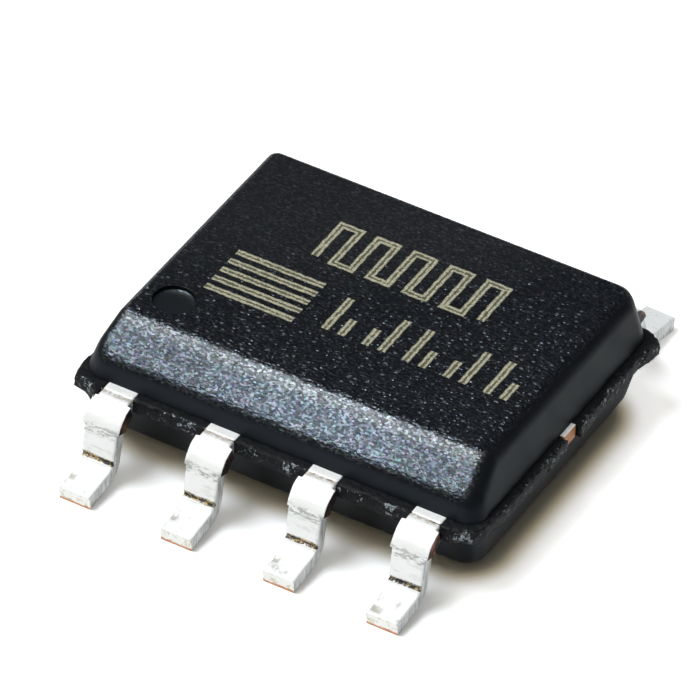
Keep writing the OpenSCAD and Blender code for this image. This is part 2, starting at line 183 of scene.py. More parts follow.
class Tree:
    """Short calls for a material's nodes. Coordinates come in millimetres."""

    def __init__(self, name):
        self.mat = bpy.data.materials.new(name)
        self.mat.use_nodes = True
        self.nt = self.mat.node_tree
        self.nt.nodes.clear()
        self.out = self.nt.nodes.new("ShaderNodeOutputMaterial")
        coord = self.nt.nodes.new("ShaderNodeTexCoord")
        self.mm = self.vec("SCALE", coord.outputs["Object"], 1 / MM)

    def put(self, socket, value):
        if isinstance(value, bpy.types.NodeSocket):
            self.nt.links.new(value, socket)
        elif value is not None:
            socket.default_value = value

    def vec(self, op, a, b=None):
        n = self.nt.nodes.new("ShaderNodeVectorMath")
        n.operation = op
        self.put(n.inputs[0], a)
        if op == "SCALE":
            self.put(n.inputs["Scale"], b)
        elif b is not None:
            self.put(n.inputs[1], b)
        return n.outputs["Value" if op in ("LENGTH", "DOT_PRODUCT", "DISTANCE") else "Vector"]

    def math(self, op, a, b=None, c=None, clamp=False):
        n = self.nt.nodes.new("ShaderNodeMath")
        n.operation = op
        n.use_clamp = clamp
        for i, v in enumerate((a, b, c)):
            if v is not None:
                self.put(n.inputs[i], v)
        return n.outputs[0]

    def ramp(self, x, lo, hi, out_lo=0.0, out_hi=1.0):
        n = self.nt.nodes.new("ShaderNodeMapRange")
        n.interpolation_type = "SMOOTHSTEP"
        keys = ("Value", "From Min", "From Max", "To Min", "To Max")
        for key, v in zip(keys, (x, lo, hi, out_lo, out_hi)):
            self.put(n.inputs[key], v)
        return n.outputs[0]

    def mul(self, first, *others):
        for other in others:
            first = self.math("MULTIPLY", first, other)
        return first

    def swing(self, value, size):
        """A value from 0 to 1 as one that swings round 0."""
        return self.mul(self.math("SUBTRACT", value, 0.5), size)

    def noise(self, scale, detail=2.0, rough=0.5, vector=None):
        n = self.nt.nodes.new("ShaderNodeTexNoise")
        self.put(n.inputs["Vector"], vector or self.mm)
        n.inputs["Scale"].default_value = scale
        n.inputs["Detail"].default_value = detail
        n.inputs["Roughness"].default_value = rough
        return n.outputs[0]

    def cells(self, scale, vector=None, output="Distance"):
        n = self.nt.nodes.new("ShaderNodeTexVoronoi")
        self.put(n.inputs["Vector"], vector or self.mm)
        n.inputs["Scale"].default_value = scale
        return n.outputs[output]

    def stretch(self, scale):
        n = self.nt.nodes.new("ShaderNodeMapping")
        self.put(n.inputs["Vector"], self.mm)
        n.inputs["Scale"].default_value = scale
        return n.outputs[0]

    def mix(self, fac, a, b):
        n = self.nt.nodes.new("ShaderNodeMix")
        n.data_type = "RGBA"
        self.put(n.inputs[0], fac)
        for socket, v in ((n.inputs[6], a), (n.inputs[7], b)):
            self.put(socket, (*v, 1.0) if isinstance(v, tuple) and len(v) == 3 else v)
        return n.outputs[2]

    def split(self, v):
        n = self.nt.nodes.new("ShaderNodeSeparateXYZ")
        self.put(n.inputs[0], v)
        return n.outputs

    def normal(self):
        return self.nt.nodes.new("ShaderNodeNewGeometry").outputs["Normal"]

    def attribute(self, name):
        n = self.nt.nodes.new("ShaderNodeAttribute")
        n.attribute_name = name
        return n.outputs["Fac"]

    def bump(self, height, strength, depth_mm):
        n = self.nt.nodes.new("ShaderNodeBump")
        n.inputs["Strength"].default_value = strength
        n.inputs["Distance"].default_value = depth_mm * MM
        self.put(n.inputs["Height"], height)
        return n.outputs[0]

    def shader(self, **sockets):
        n = self.nt.nodes.new("ShaderNodeBsdfPrincipled")
        for key, v in sockets.items():
            if isinstance(v, tuple) and len(v) == 3:
                v = (*v, 1.0)
            self.put(n.inputs[key.replace("_", " ")], v)
        return n.outputs[0]

    def blend(self, fac, a, b):
        n = self.nt.nodes.new("ShaderNodeMixShader")
        self.put(n.inputs[0], fac)
        self.put(n.inputs[1], a)
        self.put(n.inputs[2], b)
        return n.outputs[0]

    def done(self, surface):
        self.nt.links.new(surface, self.out.inputs["Surface"])
        return self.mat


# ---- Materials ----

def specks(t, per_mm, size, share):
    """Mask of round specks: one in so many cells holds one."""
    near = t.ramp(t.cells(per_mm), size, size * 0.55)
    lucky = t.math("GREATER_THAN", t.split(t.cells(per_mm, output="Color"))[0], 1 - share)
    return t.mul(near, lucky)


def dimple_mask(t, reach):
    """1 inside the round index mark, whose bowl came off a polished pin."""
    flat = t.vec("MULTIPLY", t.mm, (1.0, 1.0, 0.0))
    away = t.vec("SUBTRACT", flat, (DIMPLE_X, DIMPLE_Y, 0.0))
    return t.ramp(t.vec("LENGTH", away), reach + 0.01, reach - 0.01)


def pimples(t, per_mm, height, rarity):
    """Relief, in millimetres, of round grains one to a cell; a high rarity leaves most of them low."""
    reach = t.math("POWER", t.mul(t.cells(per_mm), 2.4), 2.0)
    dome = t.math("SUBTRACT", 1.0, reach, clamp=True)
    size = t.math("POWER", t.split(t.cells(per_mm, output="Color"))[1], rarity)
    return t.mul(dome, size, height)


def eroded_face(t, facing, x, z):
    """Spark-eroded resin: round grains and pale dots (painted glints) on the top face, glitter on the
    bevel.
    """
    near = t.ramp(t.vec("DOT_PRODUCT", t.mm, (0.36, -0.68, 0.0)), -1.6, 1.0, 0.30, 1.25)
    flat = t.ramp(facing[2], 0.90, 0.97)
    long = t.stretch((0.72, 1.2, 1.2))
    grains = t.mul(pimples(t, 14.0, 0.0110, 0.8), flat)
    fine = t.mul(t.noise(24, 1.3, 0.5, vector=long), t.ramp(flat, 0.0, 1.0, 0.0065, 0.0100))
    # Pale dots in the base colour: painted glints, partly standing for exposed filler grains; more of
    # them towards the front
    dots = t.ramp(t.cells(11, vector=long), 0.22, 0.10)
    brightness = t.math("POWER", t.split(t.cells(11, vector=long, output="Color"))[2], 1.7)
    dots = t.mul(dots, brightness, flat, t.ramp(near, 0.4, 1.1, 0.12, 0.68))
    # Painted shade: the top face's base colour is darker towards the front and towards the right end
    shade = t.math("ADD", t.ramp(near, 0.35, 1.0), t.swing(t.noise(20, 2), 0.6))
    shade = t.math("ADD", shade, t.ramp(x, 0.3, 2.2, 0.0, 0.6))
    dark = t.mix(shade, (0.0080, 0.0086, 0.0110), (0.0022, 0.0026, 0.0042))
    return t.shader(
        Base_Color=t.mix(dots, dark, (0.30, 0.33, 0.36)),
        Roughness=0.33,
        Specular_IOR_Level=1.0,
        Specular_Tint=glitter(t, t.mul(flat, shade), x, z, long),
        Normal=t.bump(t.mul(t.math("ADD", grains, fine), near), 1.0, 1.0),
    )


def glitter(t, shaded_top_share, x, z, long):
    """Colour of the eroded face's gloss: small facets that differ in strength and a little in hue, and
    a painted highlight.
    """
    # Painted highlight: the bevel's gloss is brighter near its upper edge and in the middle of its
    # length
    high = t.ramp(z, BODY_TOP - 0.12, BODY_TOP - 0.05)
    middle = t.ramp(t.math("ABSOLUTE", t.math("SUBTRACT", x, 0.2)), 0.5, 1.7, 1.0, 0.8)
    tint = t.vec("SCALE", t.mix(high, (0.31, 0.37, 0.43), (0.61, 0.65, 0.67)), middle)
    # Painted shade: the top face's gloss is dimmed where its base colour is painted darker
    tint = t.mix(shaded_top_share, tint, (0.38, 0.44, 0.53))
    facets = t.split(t.cells(GLITTER_CELLS, vector=long, output="Color"))[1]
    shine = t.math("MULTIPLY_ADD", t.math("POWER", facets, 2.4), 2.1, 0.57)
    return t.vec("SCALE", t.mix(0.12, tint, t.cells(HUE_CELLS, output="Color")), shine)


def satin_face(t, facing, bowl, z):
    """Smooth resin of the walls, the underside and the polished bowl of the index mark, with painted
    shade and sheen.
    """
    dust = specks(t, 2.2, 0.07, 0.12)
    smear = t.noise(1.7, 3, 0.6)
    wall = t.mul(bowl, t.math("SUBTRACT", 1.0, dimple_mask(t, DIMPLE_R - DIMPLE_RIM)))
    mottle = t.mul(t.noise(13, 3, 0.6), t.ramp(bowl, 0.0, 1.0, 0.0, 0.006))
    lower = t.ramp(z, SLAB_Z, SLAB_Z - 0.05)
    front = t.ramp(facing[1], -0.5, -0.8)
    paint = t.mix(smear, (0.0045, 0.0053, 0.0072), (0.0085, 0.0093, 0.0120))
    # Painted shade: the recess wall round the bowl is painted black and gets no gloss
    bowl_with_shaded_wall = t.mix(wall, (0.0075, 0.0080, 0.0095), (0.0, 0.0, 0.0))
    paint = t.mix(t.math("MAXIMUM", bowl, wall), paint, bowl_with_shaded_wall)
    # Painted sheen: below the flash, the walls that do not face the front are painted lighter and
    # bluer
    paint = t.mix(t.math("SUBTRACT", lower, front, clamp=True), paint, (0.012, 0.016, 0.023))
    # Painted shade and sheen carried by the gloss: less on the end walls than on the front and back,
    # fading on the lower front walls
    gloss = t.ramp(t.math("ABSOLUTE", facing[0]), 0.3, 0.7, 0.23, 0.145)
    gloss = t.math("MAXIMUM", gloss, t.mul(bowl, 0.80))
    gloss = t.mul(gloss, t.math("SUBTRACT", 1.0, wall))
    gloss = t.mul(gloss, t.ramp(t.mul(lower, front), 0.0, 1.0, 1.0, 0.45))
    return t.shader(
        Base_Color=t.mix(dust, paint, (0.6, 0.62, 0.64)),
        Roughness=t.mix(bowl, t.ramp(smear, 0.3, 0.7, 0.32, 0.44), (0.26, 0.26, 0.26)),
        Specular_IOR_Level=gloss,
        Specular_Tint=(0.70, 0.87, 1.0),
        Normal=t.bump(t.math("ADD", mottle, t.mul(t.noise(45, 3, 0.6), 0.001)), 1.0, 1.0),
    )


def resin_material():
    """Mould compound: spark-eroded texture on the top and the bevel, satin on the walls."""
    t = Tree("resin_body")
    facing = t.split(t.normal())
    x, _, z = t.split(t.mm)
    bowl = dimple_mask(t, DIMPLE_R)
    level = t.math("SUBTRACT", facing[2], t.mul(t.math("ABSOLUTE", facing[0]), 0.75))
    ragged = t.math("ADD", level, t.swing(t.noise(11, 3), 0.20))
    eroded = t.mul(t.ramp(ragged, 0.34, 0.58), t.math("SUBTRACT", 1.0, bowl))
    return t.done(t.blend(eroded, satin_face(t, facing, bowl, z), eroded_face(t, facing, x, z)))


def broken_share(t, x, y, end):
    """How much of the broken face shows its pale filler: more beside the leads and at the scar."""
    row = t.ramp(y, -HALF_W + 0.06, -HALF_W - 0.02)
    off_lead = t.math("WRAP", t.math("ADD", x, SPALL_OFF), PITCH / 2, -PITCH / 2)
    spall = t.mul(t.ramp(t.math("ABSOLUTE", off_lead), 0.18, 0.06, 0.0, 0.13), row)
    rare = t.ramp(t.noise(2.9, 2, 0.5), 0.56, 0.42, 0.0, 0.075)
    scar = t.ramp(t.vec("DISTANCE", t.mm, SCAR), 0.17, 0.06, 0.0, 0.19)
    most = t.math("MAXIMUM", rare, t.math("MAXIMUM", spall, scar))
    return t.math("ADD", most, t.mul(end, 0.015))


def fracture_material():
    """Broken resin at the parting line: dark and pitted, its filler laid bare beside the leads."""
    t = Tree("resin_broken")
    grain = t.noise(16, 4, 0.65)
    rim = t.attribute("rim")
    x, y, _ = t.split(t.mm)
    end = t.ramp(x, 2.0, 2.35)
    chips = t.ramp(t.math("ADD", t.noise(22, 4, 0.75), broken_share(t, x, y, end)), 0.66, 0.72)
    # The pale chips and lighter worn patches show only on the broken side and its outer edge; the
    # shelf beside the wall stays near-black, partly the broken resin's own colour and partly painted
    # shade of the wall
    bright = t.mul(chips, t.ramp(rim, 0.25, 0.9))
    worn = t.mul(t.ramp(grain, 0.46, 0.66), end, t.ramp(rim, 0.2, 0.8))
    stone = t.mix(grain, (0.0030, 0.0034, 0.0044), (0.0090, 0.0098, 0.0118))
    stone = t.mix(worn, stone, (0.028, 0.032, 0.035))
    return t.done(t.shader(
        Base_Color=t.mix(bright, stone, (0.34, 0.39, 0.42)),
        Roughness=t.ramp(grain, 0.3, 0.7, 0.45, 0.65),
        Specular_IOR_Level=0.18,
        Normal=t.bump(t.math("ADD", grain, t.mul(t.cells(14), 0.6)), 0.7, 0.02),
    ))


def window(t, x, lo, hi, soft):
    """1 between lo and hi, fading to 0 over the soft width on either side."""
    return t.mul(t.ramp(x, lo - soft, lo), t.ramp(x, hi + soft, hi))


def tin_material():
    """Matt tin plating on a lead's rolled faces: grain, scuffs, and marks at the two bends; at the
    knee the mark is painted shade of the crease, with painted glints.

    station counts along the lead: 0 wall, 1 and 2 shoulder bend, 3 and 4 knee bend, 5 toe.
    """
    t = Tree("tin_rolled")
    station, level = t.attribute("station"), t.attribute("level")
    front = t.ramp(level, 0.35, 0.65)
    grain = t.noise(30, 3, 0.6)
    scuff = t.noise(1.0, 4, 0.7, vector=t.stretch((5.0, 14.0, 22.0)))
    torn = t.ramp(t.noise(1.0, 4, 0.7, vector=t.stretch((9.0, 18.0, 26.0))), 0.45, 0.56)
    wander = t.math("ADD", station, t.swing(t.noise(7, 3), 0.22))
    scratch = t.mul(t.ramp(scuff, 0.52, 0.62), window(t, station, 1.95, 2.75, 0.3))
    tear = t.mul(window(t, wander, 1.86, 2.03, 0.10), front, torn)
    crease = t.mul(window(t, wander, 0.86, 1.02, 0.10), t.ramp(t.noise(17, 3), 0.36, 0.54))
    # Painted shade and painted glints: the knee crease is painted near-black, with gold glints
    knee = t.mul(window(t, wander, 2.90, 3.16, 0.08), front, t.ramp(grain, 0.64, 0.56, 0.3, 1.0))
    glint = t.ramp(t.noise(24, 2, 0.6), 0.50, 0.60)
    crease_shade_and_glints = t.mix(glint, (0.008, 0.006, 0.004), (0.62, 0.45, 0.20))
    foot = t.mul(t.ramp(t.noise(6.5, 4, 0.7), 0.55, 0.66), window(t, station, 4.35, 4.8, 0.25))
    pressed = t.mul(t.attribute("dent"), t.ramp(scuff, 0.35, 0.6, 0.45, 0.85))
    base = (0.96, 0.96, 0.95)
    for share, colour in (
        (t.mul(scratch, 0.24), (0.40, 0.46, 0.40)),
        (t.mul(tear, 0.58), (0.16, 0.17, 0.13)),
        (t.mul(crease, 0.60), (0.46, 0.36, 0.26)),
        (t.mul(knee, 0.97), crease_shade_and_glints),
        (t.mul(foot, 0.55), (0.30, 0.31, 0.28)),
        (pressed, (0.48, 0.46, 0.40)),
    ):
        base = t.mix(share, base, colour)
    return t.done(t.shader(
        Base_Color=base,
        Metallic=0.26,
        Roughness=t.ramp(scuff, 0.3, 0.7, 0.42, 0.58),
        Normal=t.bump(t.math("ADD", grain, t.mul(scuff, 0.9)), 0.5, 0.008),
    ))


def cut_material():
    """Punched side faces of a lead: tin over the drag lines of the punch."""
    t = Tree("tin_cut")
    drag = t.noise(1.0, 4, 0.65, vector=t.stretch((20.0, 26.0, 4.0)))
    return t.done(t.shader(
        Base_Color=t.mix(t.ramp(drag, 0.38, 0.62), (0.56, 0.58, 0.57), (0.90, 0.91, 0.90)),
        Metallic=0.45,
        Roughness=t.ramp(drag, 0.3, 0.7, 0.38, 0.6),
        Normal=t.bump(drag, 0.6, 0.01),
    ))


def dam_cut_material():
    """Sides of the wide stretch, where the dam bar was cut off after plating: bare dull copper.

    It is redder on the leads of the right end.
    """
    t = Tree("dam_bar_cut")
    drag = t.noise(1.0, 4, 0.65, vector=t.stretch((20.0, 9.0, 9.0)))
    red = t.ramp(t.split(t.mm)[0], 0.9, 1.5)
    bare = t.mix(red, (0.20, 0.10, 0.062), (0.40, 0.13, 0.08))
    return t.done(t.shader(
        Base_Color=t.mix(t.ramp(drag, 0.46, 0.70), (0.006, 0.005, 0.005), bare),
        Metallic=0.5,
        Roughness=0.5,
        Normal=t.bump(drag, 0.8, 0.015),
    ))


def toe_material():
    """Cut end of a lead: smeared tin above, a bright copper line along the lower edge."""
    t = Tree("toe_cut")
    level = t.attribute("level")
    smear = t.noise(1.0, 3, 0.6, vector=t.stretch((16.0, 8.0, 6.0)))
    edge = t.math("ADD", level, t.swing(smear, 0.3))
    stain = t.ramp(t.noise(13, 3, 0.6), 0.52, 0.64)
    base = t.mix(t.mul(stain, 0.60), (0.93, 0.93, 0.91), (0.52, 0.45, 0.25))
    return t.done(t.shader(
        Base_Color=t.mix(t.ramp(edge, 0.26, 0.14), base, (0.58, 0.27, 0.14)),
        Metallic=0.5,
        Roughness=0.5,
        Normal=t.bump(smear, 0.5, 0.008),
    ))


def tie_bar_material():
    """Lead frame copper, plated on its upper face only."""
    t = Tree("copper_frame_cut")
    up = t.ramp(t.split(t.normal())[2], 0.4, 0.7)
    drag = t.noise(1.0, 4, 0.6, vector=t.stretch((8.0, 22.0, 5.0)))
    copper = t.mix(drag, (0.42, 0.15, 0.045), (0.68, 0.31, 0.12))
    plated = t.mix(drag, (0.90, 0.90, 0.86), (0.98, 0.98, 0.95))
    return t.done(t.shader(
        Base_Color=t.mix(up, copper, plated),
        Metallic=0.1,
        Roughness=t.ramp(drag, 0.3, 0.7, 0.38, 0.5),
        Normal=t.bump(drag, 0.4, 0.008),
    ))


def mark_material():
    """Laser marking: two pale burnt lines with a darker track between them."""
    t = Tree("laser_mark")
    side = t.math("ADD", t.math("ABSOLUTE", t.attribute("across")), t.swing(t.noise(17, 2), 0.9))
    flick = t.noise(34, 3, 0.65)
    track = t.ramp(side, 0.12, 0.42)
    edge = t.ramp(side, 1.0, 0.72)
    tone = t.mix(track, (0.10, 0.095, 0.065), (0.50, 0.475, 0.33))
    tone = t.mix(t.ramp(flick, 0.38, 0.6, 0.5, 0.0), tone, (0.06, 0.06, 0.045))
    return t.done(t.shader(
        Base_Color=t.mix(edge, (0.04, 0.04, 0.035), tone),
        Roughness=0.8,
        Normal=t.bump(flick, 0.7, 0.008),
    ))


def plain_finish(name, dark, light, metallic, rough, scale):
    """A sealed inner piece's finish: two close shades in a fine grain."""
    t = Tree(name)
    grain = t.noise(scale, 3, 0.6)
    return t.done(t.shader(
        Base_Color=t.mix(grain, dark, light),
        Metallic=metallic,
        Roughness=t.ramp(grain, 0.3, 0.7, rough - 0.08, rough + 0.08),
        Normal=t.bump(grain, 0.3, 0.003),
    ))


RESIN = resin_material()
FRACTURE = fracture_material()
TIN = tin_material()
CUT = cut_material()
DAM_CUT = dam_cut_material()
TOE = toe_material()
TIE_BAR = tie_bar_material()
MARK = mark_material()


# ---- Moulded body ----

RAY_REACH, RAY_STEPS = 1.3, 36   # a ray's end as a share of the box grid's, and its halvings


def box_shell(height, top, x_lines, y_lines, z_lines, hole):
    """Box grid of quads, its flat face at top; returns its corner points and faces."""
    x0, x1, y0, y1 = x_lines[0], x_lines[-1], y_lines[0], y_lines[-1]
    verts, faces, index = [], [], {}

    def at(x, y, z):
        key = (round(x, 5), round(y, 5), round(z, 5))
        if key not in index:
            index[key] = len(verts)
            verts.append((x, y, z))
        return index[key]

    for a, b in zip(x_lines[:-1], x_lines[1:]):
        for c, d in zip(y_lines[:-1], y_lines[1:]):
            if hole and max(abs((a + b) / 2 - hole[0]), abs((c + d) / 2 - hole[1])) < hole[2]:
                continue
            faces.append([at(a, c, top), at(b, c, top), at(b, d, top), at(a, d, top)])
    rim = [(x, y0) for x in x_lines[:-1]] + [(x1, y) for y in y_lines[:-1]]
    rim += [(x, y1) for x in x_lines[:0:-1]] + [(x0, y) for y in y_lines[:0:-1]]
    for k, (x, y) in enumerate(rim):
        u, v = rim[(k + 1) % len(rim)]
        for z, w in zip(z_lines[:-1], z_lines[1:]):
            faces.append([at(x, y, z), at(u, v, z), at(u, v, w), at(x, y, w)])
    faces.append([at(x, y, z_lines[0]) for x, y in reversed(rim)])
    if height < 0:
        faces = [f[::-1] for f in faces]
    return verts, faces


def hole_edge(verts, top, hole):
    """Numbers of the points round the square hole, anticlockwise."""
    cx, cy, half = hole
    edge = [k for k, (x, y, z) in enumerate(verts)
            if z == top and abs(max(abs(x - cx), abs(y - cy)) - half) < 1e-5]
    return sorted(edge, key=lambda k: math.atan2(verts[k][1] - cy, verts[k][0] - cx))


def ray_shell(dist, origin, height, x_lines, y_lines, z_lines, hole=None):
    """Closed shell of a half body: rays from origin through a box grid, stopped where dist is 0.

    height is the signed height of the half from the origin's level: negative hangs down. hole is
    the middle and half size of a square left open in the flat face. Returns also the corners of
    that square's edge, anticlockwise, as point numbers.
    """
    top = origin[2] + height
    verts, faces = box_shell(height, top, x_lines, y_lines, z_lines, hole)
    ray = np.array(verts) - origin
    lo, hi = np.zeros(len(ray)), np.full(len(ray), RAY_REACH)
    for _ in range(RAY_STEPS):
        mid = (lo + hi) / 2
        inside = dist(origin + ray * mid[:, None]) < 0
        lo, hi = np.where(inside, mid, lo), np.where(inside, hi, mid)
    points = origin + ray * ((lo + hi) / 2)[:, None]
    return points, faces, hole_edge(verts, top, hole) if hole else []


def upper_distance(p):
    """Distance from the body's half above the parting line: negative inside."""
    x, y, z = p[:, 0], p[:, 1], p[:, 2]
    rise = z - PARTING_Z
    ends = (np.abs(x) - HALF_L) * math.cos(END_DRAFT) + rise * math.sin(END_DRAFT)
    draft = np.where(y < 0, SIDE_DRAFT, BACK_DRAFT)
    sides = (np.abs(y) - HALF_W) * np.cos(draft) + rise * np.sin(draft)
    slope = math.atan2(BEVEL_DROP, BEVEL_RUN)
    bevel_z = BODY_TOP - BEVEL_DROP
    bevel_y = -(HALF_W - (bevel_z - PARTING_Z) * math.tan(SIDE_DRAFT))
    bevel = -(y - bevel_y) * math.sin(slope) + (z - bevel_z) * math.cos(slope)
    cap = smax(z - BODY_TOP, bevel, BEVEL_ROUND)
    upright = smax(ends, sides, np.where((x < 0) & (y > 0), SHARP_CORNER_R, CORNER_R))
    at_end = np.clip((ends - sides) / 0.25 + 0.5, 0, 1) * (x > 0)
    at_front = np.clip((sides - ends) / 0.25 + 0.5, 0, 1) * (y < 0)
    return smax(upright, cap, EDGE_R + (END_EDGE_R - EDGE_R) * at_end - FRONT_LESS * at_front)


def lower_distance(p):
    """Distance from the body's half under the lead frame: negative inside."""
    x, y, z = np.abs(p[:, 0]), np.abs(p[:, 1]), p[:, 2]
    drop = SLAB_Z - z
    ends = (x - HALF_L) * math.cos(LOW_END_DRAFT) + drop * math.sin(LOW_END_DRAFT)
    sides = (y - HALF_W) * math.cos(LOW_SIDE_DRAFT) + drop * math.sin(LOW_SIDE_DRAFT)
    upright = smax(ends, sides, np.where((p[:, 0] < 0) & (p[:, 1] > 0), SHARP_CORNER_R, CORNER_R))
    return smax(upright, STANDOFF - z, EDGE_R)


def dimple_rings():
    """Side view of the round recess, from its rim to near its middle: (radius, height)."""
    low = BODY_TOP - DIMPLE_DEPTH
    soft = 0.003
    rings = [(DIMPLE_R + soft, BODY_TOP), (DIMPLE_R, BODY_TOP - soft), (DIMPLE_R - soft, low + 0.006)]
    for share in (0.98, 0.96, 0.94, 0.91, 0.88, 0.84, 0.78, 0.70, 0.60, 0.46, 0.30, 0.14):
        rings.append((DIMPLE_R * share, low - DIMPLE_DISH * (1 - share ** 6)))
    return rings


def fill_dimple(points, faces, edge):
    """Closes the square left open in the top face with the recess and its rim."""
    points = [tuple(p) for p in points]
    n = len(edge)
    angles = [math.atan2(points[k][1] - DIMPLE_Y, points[k][0] - DIMPLE_X) for k in edge]
    previous = edge
    for r, z in dimple_rings():
        ring = []
        for a in angles:
            ring.append(len(points))
            points.append((DIMPLE_X + r * math.cos(a), DIMPLE_Y + r * math.sin(a), z))
        for i in range(n):
            j = (i + 1) % n
            faces.append([previous[i], previous[j], ring[j], ring[i]])
        previous = ring
    faces.append(list(previous))
    return points, faces


def make_upper():
    half, parts = DIMPLE_R + DIMPLE_RIM, 28
    left, right = DIMPLE_X - half, DIMPLE_X + half
    near, far = DIMPLE_Y - half, DIMPLE_Y + half
    xs = np.concatenate([
        lines(-HALF_L, left, [-HALF_L], fine=0.016, coarse=0.06, near=0.2),
        np.linspace(left, right, parts + 1)[1:-1],
        lines(right, HALF_L, [HALF_L], fine=0.016, coarse=0.09, near=0.32),
    ])
    ys = np.concatenate([
        lines(-HALF_W, near, [-HALF_W, BEVEL_TOP_Y], fine=0.013, coarse=0.06, near=0.16),
        np.linspace(near, far, parts + 1)[1:-1],
        lines(far, HALF_W, [HALF_W], fine=0.013, coarse=0.09, near=0.2),
    ])
    zs = lines(PARTING_Z, BODY_TOP, [BODY_TOP], fine=0.013, coarse=0.05, near=0.16)
    origin = np.array([0.0, 0.0, PARTING_Z])
    hole = (DIMPLE_X, DIMPLE_Y, half)
    points, faces, edge = ray_shell(upper_distance, origin, BODY_TOP - PARTING_Z, xs, ys, zs, hole)
    points, faces = fill_dimple(points, faces, edge)
    ob = new_mesh("body_upper_half", points, faces, [RESIN])
    ob.data.set_sharp_from_angle(angle=math.radians(40))
    return ob


def make_lower():
    xs = lines(-HALF_L, HALF_L, [-HALF_L, HALF_L], fine=0.02, coarse=0.12, near=0.2)
    ys = lines(-HALF_W, HALF_W, [-HALF_W, HALF_W], fine=0.02, coarse=0.12, near=0.2)
    zs = lines(STANDOFF, SLAB_Z, [STANDOFF], fine=0.02, coarse=0.06, near=0.1)[::-1]
    origin = np.array([0.0, 0.0, SLAB_Z])
    points, faces, _ = ray_shell(lower_distance, origin, STANDOFF - SLAB_Z, xs, ys, zs)
    for p in points:
        if math.hypot(p[0], p[1]) < EJECTOR_R and p[2] < STANDOFF + 0.01:
            p[2] += EJECTOR_DEPTH
    ob = new_mesh("body_lower_half", points, faces, [RESIN])
    ob.data.set_sharp_from_angle(angle=math.radians(40))
    return ob


def flash_corners():
    """Corner points of the broken band, anticlockwise from the left end, as the CAD part has them."""
    ex, ey = HALF_L + FLASH, HALF_W + FLASH
    tie = TIE_W / 2 + 0.02
    stub = PADDLE_HI[0] - 0.03
    return [
        (-ex + 0.06, -HALF_W + 0.48), (-ex + 0.06, -HALF_W + 0.06), (-ex + 0.1, -HALF_W - 0.08),
        (-ex + 0.27, -ey), (-ex + 0.4, -HALF_W - 0.2), (-ex + 0.46, -HALF_W - 0.29), (-ex + 0.48, -ey),
        (ex - 0.36, -HALF_W - 0.17), (ex - 0.26, -HALF_W - 0.11), (ex - 0.12, -HALF_W - 0.06),
        (ex - 0.05, -HALF_W + 0.1), (ex - 0.02, -HALF_W + 0.41), (ex - 0.01, -tie),
        (stub, -tie), (stub, tie), (ex, tie), (ex - 0.02, HALF_W - 0.47), (ex + 0.03, HALF_W - 0.24),
        (ex + 0.05, HALF_W - 0.12), (ex - 0.08, HALF_W - 0.01), (ex - 0.21, HALF_W + 0.04),
        (-ex + 0.3, ey), (-ex + 0.08, HALF_W + 0.02), (-ex, HALF_W - 0.3),
    ]


def walk(corners, step):
    """Points at even steps along a closed outline, with the outward direction at each."""
    out = []
    for k, a in enumerate(corners):
        b = corners[(k + 1) % len(corners)]
        run = math.dist(a, b)
        n = max(1, round(run / step))
        out += [(a[0] + (b[0] - a[0]) * i / n, a[1] + (b[1] - a[1]) * i / n) for i in range(n)]
    n, reach, ring = len(out), 3, []
    for k, (x, y) in enumerate(out):
        a, b = out[k - reach], out[(k + reach) % n]
        run = math.dist(a, b)
        ring.append((x, y, (b[1] - a[1]) / run, (a[0] - b[0]) / run))
    return ring


def chipped(x, y, z, level):
    """How far the broken side stands out at a place, and how much its top edge is lowered."""
    tie_gap = max(0.0, math.hypot(max(0.0, HALF_L - x), abs(y)) - TIE_W / 2 - 0.03)
    calm = min(1.0, tie_gap / 0.12)
    lump = 0.016 * fractal((x, y, z * 1.6), 6.0) + 0.012 * fractal((x, y, z), 17.0, 2)
    bite = max(0.0, fractal((x * 1.3, y * 1.3, z * 2 + 4), 3.1) - 0.26) * 0.11
    edge = max(0.0, level - 0.6) / 0.4
    worn = edge * (0.012 + 0.05 * max(0.0, fractal((x, y, 9.0), 7.0)))
    lowered = edge * 0.04 * max(0.0, fractal((x, y, 5.0), 9.0, 2) + 0.15)
    return calm * (lump - bite - worn), -calm * lowered


def make_flash():
    """The band of resin left at the parting line, its edge broken and pitted."""
    ring = walk(flash_corners(), 0.018)
    n = len(ring)
    z0, height = SLAB_Z + FLASH_LIFT, LEAD_T - FLASH_THINNER
    verts, rim = [], []

    def add_row(points, mark):
        verts.extend(points)
        rim.extend([mark] * n)

    def shelf(share, z, up):
        row = []
        for x, y, ux, uy in ring:
            ix = max(-HALF_L + FLASH_ROOT, min(HALF_L - FLASH_ROOT, x))
            iy = max(-HALF_W + FLASH_ROOT, min(HALF_W - FLASH_ROOT, y))
            move, _ = chipped(x, y, z0 + height * up, up)
            px, py = x + ux * move, y + uy * move
            dz = 0.007 * fractal((x, y, 3 + up), 9.0, 2) * (1 - share)
            row.append((px + (ix - px) * share, py + (iy - py) * share, z + dz))
        return row

    for share in (1.0, 0.55, 0.25):
        add_row(shelf(share, z0, 0.0), 0.0)
    for level in (0.0, 0.06, 0.18, 0.32, 0.46, 0.60, 0.72, 0.84, 0.94, 1.0):
        row = []
        for x, y, ux, uy in ring:
            z = z0 + height * level
            move, dz = chipped(x, y, z, level)
            row.append((x + ux * move, y + uy * move, z + dz))
        add_row(row, min(1.0, 0.35 + level))
    for share in (0.12, 0.28, 0.5, 1.0):
        add_row(shelf(share, z0 + height, 1.0), max(0.0, 0.8 - 3 * share))
    faces = []
    rows = len(verts) // n
    for r in range(rows - 1):
        for i in range(n):
            j = (i + 1) % n
            faces.append([r * n + i, r * n + j, (r + 1) * n + j, (r + 1) * n + i])
    faces.append([(rows - 1) * n + i for i in range(n)])
    faces.append(list(reversed(range(n))))
    ob = new_mesh("flash_band", verts, faces, [FRACTURE])
    mark_points(ob, "rim", rim)
    return ob


# ---- Leads ----

